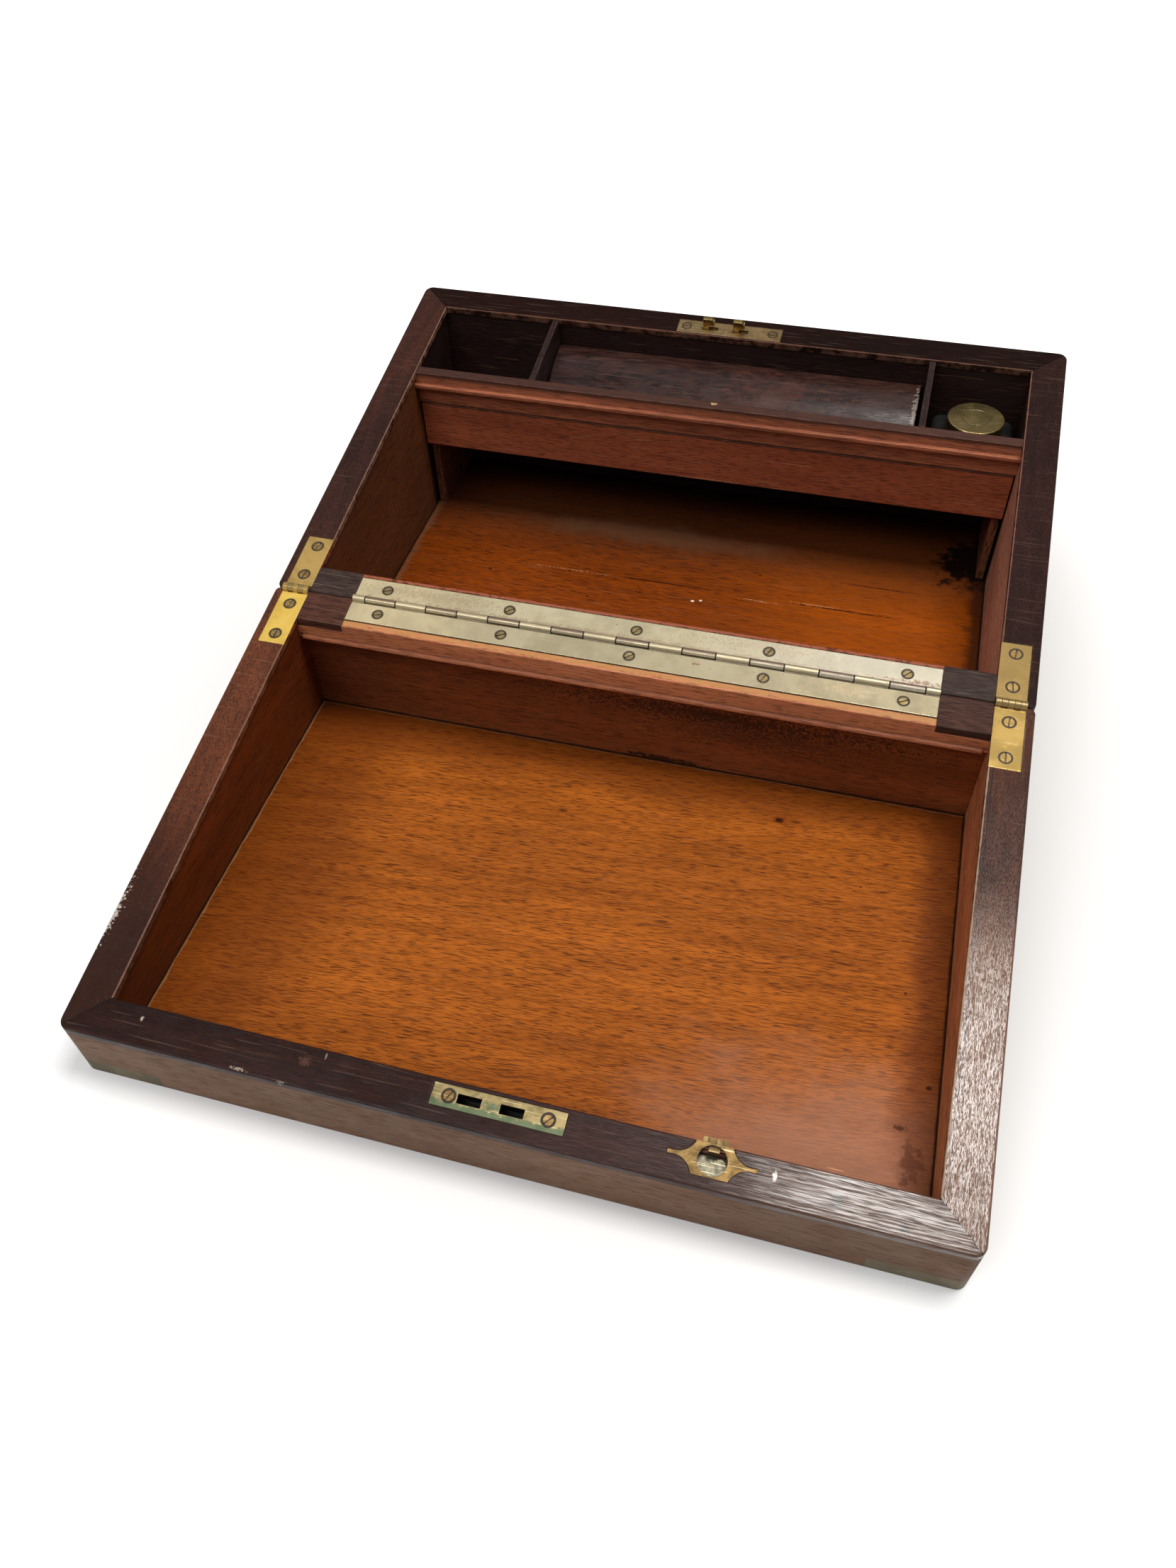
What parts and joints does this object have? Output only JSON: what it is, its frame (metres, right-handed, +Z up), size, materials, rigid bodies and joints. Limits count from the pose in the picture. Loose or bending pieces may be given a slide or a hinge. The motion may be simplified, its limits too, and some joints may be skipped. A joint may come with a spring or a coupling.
{
  "type": "writing slope",
  "caption": "Folding portable writing box lying open flat, with a hinged lid, hook lock, pen bay, loose pen cover, flap catch and travelling inkwell.",
  "frame": {"origin": "on the table, under the middle of the hinge line of the opened box", "axes": "+X along the hinge to the right, +Y from the hinge towards the pen bay at the back, +Z up"},
  "size_m": [0.35, 0.444, 0.115],
  "materials": {
    "walnut_veneer": "worn satin polish",
    "rosewood_rim": "worn satin polish",
    "mahogany_floor": "dry raw wood",
    "mahogany_wall": "thin worn polish",
    "pen_bay_wood": "worn polish",
    "pen_cover_wood": "dark polish",
    "dark_block_wood": "dark worn polish",
    "gold_brass": "clean worn brass",
    "dull_brass": "tarnished brass",
    "pale_brass": "pale worn brass",
    "iron_screw": "darkened screw steel",
    "dark_glass": "moulded glass, inky"
  },
  "bodies": {
    "base": {"base_bottom_board": "mahogany_floor", "base_hinge_block_left": "dark_block_wood", "base_hinge_block_right": "dark_block_wood", "base_hinge_wall": "mahogany_wall", "base_outer_veneer": "walnut_veneer", "base_piano_hinge_screws": "iron_screw", "base_rim_back": "rosewood_rim", "base_rim_left": "rosewood_rim", "base_rim_right": "rosewood_rim", "base_strap_hinge_screws": "iron_screw", "base_wall_back": "mahogany_wall", "base_wall_left": "mahogany_wall", "base_wall_right": "mahogany_wall", "keyhole_escutcheon": "gold_brass", "lock_case": "dull_brass", "lock_plate": "gold_brass", "lock_plate_screws": "iron_screw", "lock_tumbler": "dull_brass", "pen_bay_bearer_left": "mahogany_wall", "pen_bay_bearer_right": "mahogany_wall", "pen_bay_divider_left": "pen_bay_wood", "pen_bay_divider_right": "pen_bay_wood", "pen_bay_fascia": "pen_bay_wood", "pen_bay_floor": "pen_bay_wood", "pen_bay_rail": "pen_bay_wood", "piano_hinge_base_leaf": "pale_brass", "piano_hinge_pin": "iron_screw", "strap_hinge_left_base_leaf": "dull_brass", "strap_hinge_pins": "iron_screw", "strap_hinge_right_base_leaf": "dull_brass"},
    "lid": {"catch_cup": "dull_brass", "catch_plate": "gold_brass", "lid_corner_brasses": "dull_brass", "lid_hinge_block_left": "dark_block_wood", "lid_hinge_block_right": "dark_block_wood", "lid_hinge_rail": "mahogany_wall", "lid_hinge_wall": "mahogany_wall", "lid_outer_veneer": "walnut_veneer", "lid_piano_hinge_screws": "iron_screw", "lid_rim_front": "rosewood_rim", "lid_rim_left": "rosewood_rim", "lid_rim_right": "rosewood_rim", "lid_strap_hinge_screws": "iron_screw", "lid_top_board": "mahogany_floor", "lid_top_veneer": "walnut_veneer", "lid_wall_front": "mahogany_wall", "lid_wall_left": "mahogany_wall", "lid_wall_right": "mahogany_wall", "piano_hinge_lid_leaf": "pale_brass", "strap_hinge_left_lid_leaf": "gold_brass", "strap_hinge_right_lid_leaf": "gold_brass", "strike_plate": "dull_brass", "strike_plate_screws": "iron_screw"},
    "lock_bolt": {"lock_bolt": "gold_brass"},
    "catch_bolt": {"catch_bolt": "gold_brass"},
    "pen_cover": {"pen_cover": "pen_cover_wood"},
    "inkwell": {"inkwell_bottle": "dark_glass", "inkwell_collar": "dull_brass"},
    "inkwell_cap": {"inkwell_cap": "dull_brass"}
  },
  "joints": [
    {"name": "lid_hinge", "type": "hinge", "parent": "base", "child": "lid", "pos_m": [0, 0, 0.072], "axis": [-1, 0, 0], "range_deg": [0, 180]},
    {"name": "lock_bolt_throw", "type": "slide", "parent": "base", "child": "lock_bolt", "axis": [1, 0, 0], "range_m": [0, 0.0046]},
    {"name": "catch_bolt_slide", "type": "slide", "parent": "lid", "child": "catch_bolt", "axis": [0, -0.9852, -0.1713], "range_m": [0, 0.0022], "stiffness_N_per_m": 400},
    {"name": "pen_cover_lift", "type": "slide", "parent": "base", "child": "pen_cover", "axis": [0, 0, 1], "range_m": [0, 0.035]},
    {"name": "inkwell_lift", "type": "slide", "parent": "base", "child": "inkwell", "axis": [0, 0, 1], "range_m": [0, 0.028]},
    {"name": "inkwell_cap_lift", "type": "slide", "parent": "inkwell", "child": "inkwell_cap", "axis": [0, 0, 1], "range_m": [0, 0.012]}
  ]
}
